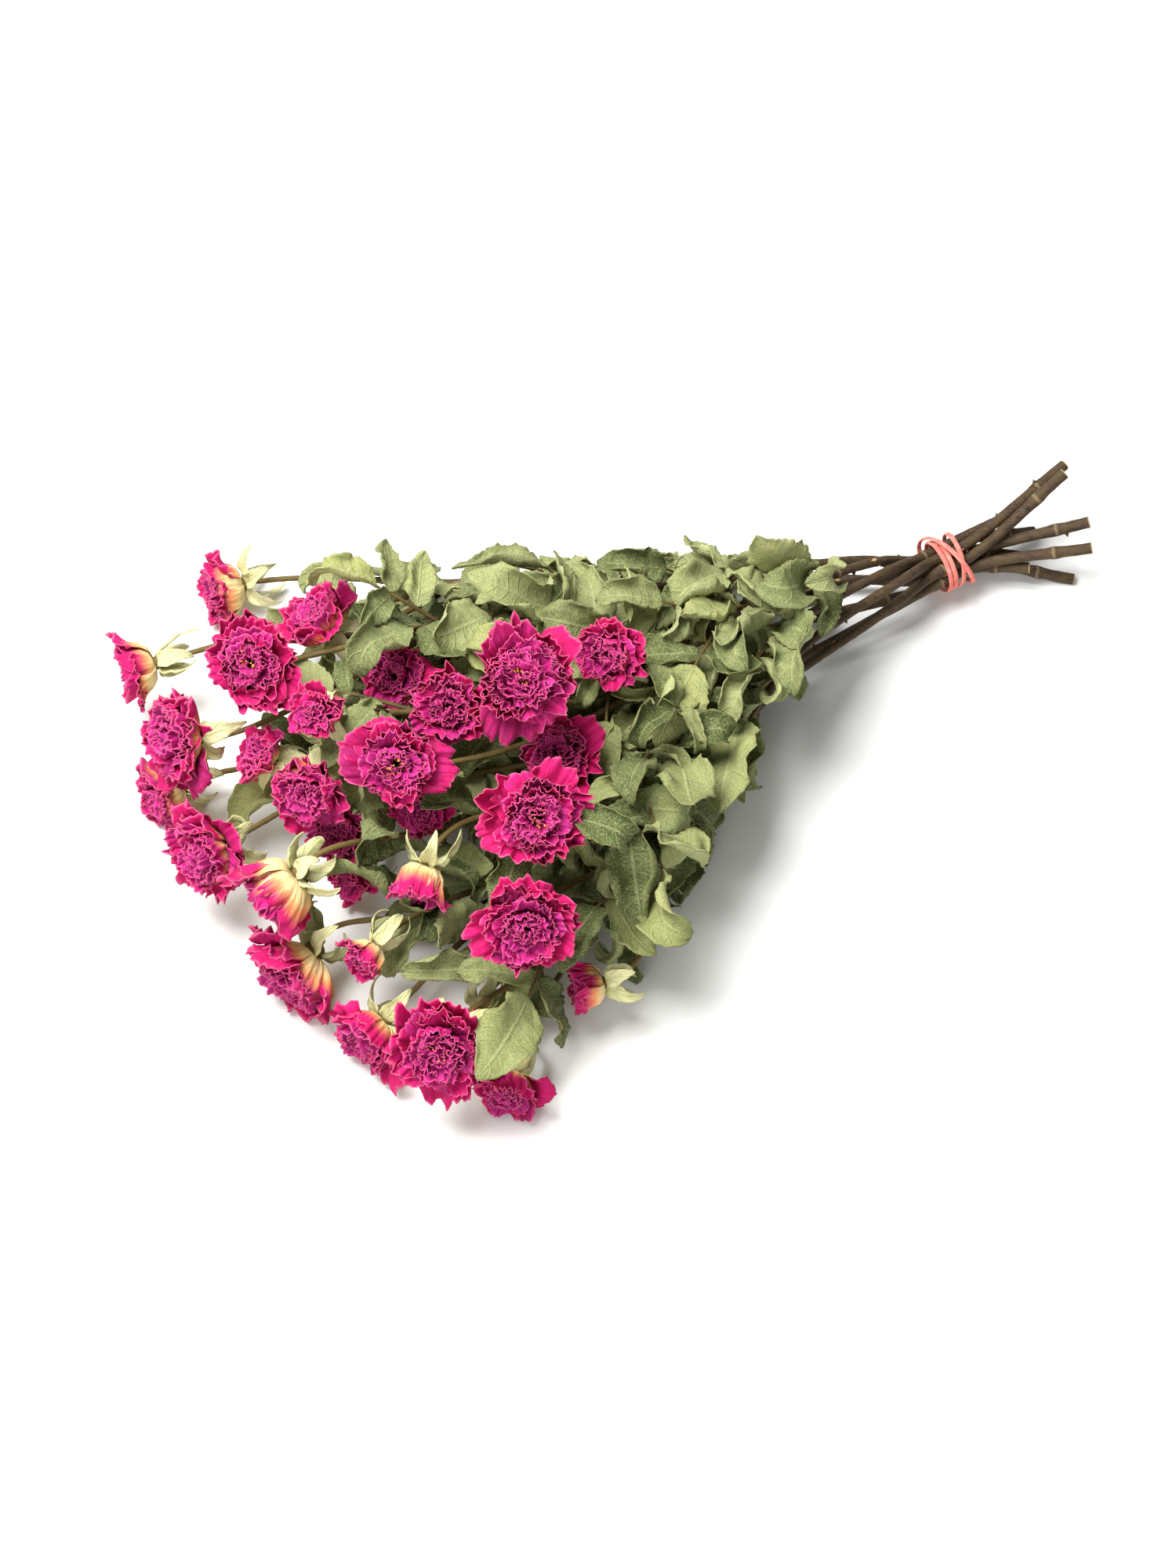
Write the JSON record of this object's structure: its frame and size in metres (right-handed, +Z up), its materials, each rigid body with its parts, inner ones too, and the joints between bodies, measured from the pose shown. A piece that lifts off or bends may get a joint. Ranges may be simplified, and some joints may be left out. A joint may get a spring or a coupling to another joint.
{
  "type": "bunch of roses",
  "caption": "Bunch of dried spray roses lying on its side: ruffled magenta blooms on leafy woody stems, fanned out and tied near their cut ends with a rubber band.",
  "frame": {"origin": "middle of the bunch's footprint, on the surface that it lies on", "axes": "+X along the bunch towards the cut ends of the stems, +Z up, blooms fanned towards -X and -Y"},
  "size_m": [0.4004, 0.2964, 0.127],
  "materials": {
    "foliage": "dried leaf, matt, grey-green, curled and veined",
    "stems": "thin brown bark with olive patches, satin",
    "petals": "dried petal, matt, crinkled, cream at its base",
    "rubber_band": "plain coral rubber, satin"
  },
  "bodies": {
    "root": {"leafy_stem_1": "foliage", "leafy_stem_2": "foliage", "leafy_stem_3": "foliage", "leafy_stem_4": "foliage", "leafy_stem_5": "foliage", "leafy_stem_6": "foliage", "leafy_stem_7": "foliage", "leafy_stem_8": "foliage", "leafy_stem_9": "foliage", "bloom_01": "petals", "bloom_02": "petals", "bloom_03": "petals", "bloom_04": "petals", "bloom_05": "petals", "bloom_06": "petals", "bloom_07": "petals", "bloom_08": "petals", "bloom_09": "petals", "bloom_10": "petals", "bloom_11": "petals", "bloom_12": "petals", "bloom_13": "petals", "bloom_14": "petals", "bloom_15": "petals", "bloom_16": "petals", "bloom_17": "petals", "bloom_18": "petals", "bloom_19": "petals", "bloom_20": "petals", "bloom_21": "petals", "bloom_22": "petals", "bloom_23": "petals", "bloom_24": "petals", "bloom_25": "petals", "bloom_26": "petals", "bloom_27": "petals", "bloom_28": "petals", "bloom_29": "petals", "bloom_30": "petals", "rubber_band": "rubber_band"}
  },
  "joints": []
}
